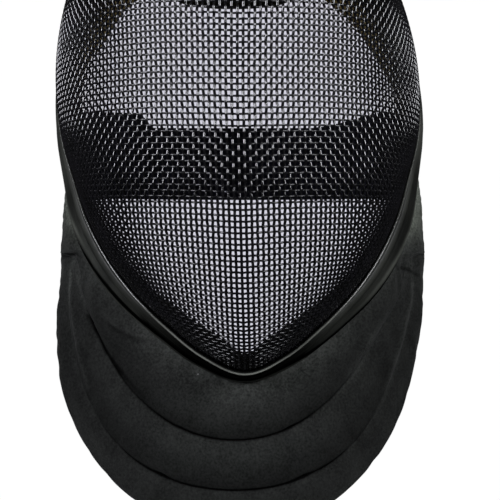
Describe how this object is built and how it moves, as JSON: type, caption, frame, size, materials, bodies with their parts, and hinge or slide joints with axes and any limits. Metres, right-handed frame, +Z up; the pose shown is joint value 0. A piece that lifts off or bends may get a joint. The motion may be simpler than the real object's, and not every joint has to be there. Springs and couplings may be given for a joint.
{
  "type": "fencing mask",
  "caption": "Black fencing mask with a domed wire mesh face, a wide leather edge trim, a quilted bib below, and a strap and spring tongue behind.",
  "frame": {"origin": "where the crown of the head meets the crown lining, on the mask's middle plane", "axes": "+Z up as the mask is worn, -Y towards the front of the wire face, +X to the right as seen from the front"},
  "size_m": [0.2288, 0.211, 0.3701],
  "materials": {
    "black_wire": "black enamelled steel wire, satin",
    "trim_leather": "black smooth leather, low sheen",
    "piping_cord": "dark grey piping, satin",
    "bib_cloth": "charcoal woven cloth, matt",
    "lining_cloth": "black padded cloth, matt",
    "strap_webbing": "black elastic webbing, matt",
    "spring_steel": "blackened spring steel, satin"
  },
  "bodies": {
    "root": {"mesh_cage": "black_wire", "trim_band": "trim_leather", "trim_piping": "piping_cord", "chin_lining": "lining_cloth", "crown_lining": "lining_cloth", "bib_upper_tier": "bib_cloth", "bib_middle_tier": "bib_cloth", "bib_lower_tier": "bib_cloth", "back_strap": "strap_webbing", "strap_tab_left": "strap_webbing", "strap_tab_right": "strap_webbing", "tongue_spring": "spring_steel", "tongue_pad": "lining_cloth"}
  },
  "joints": []
}
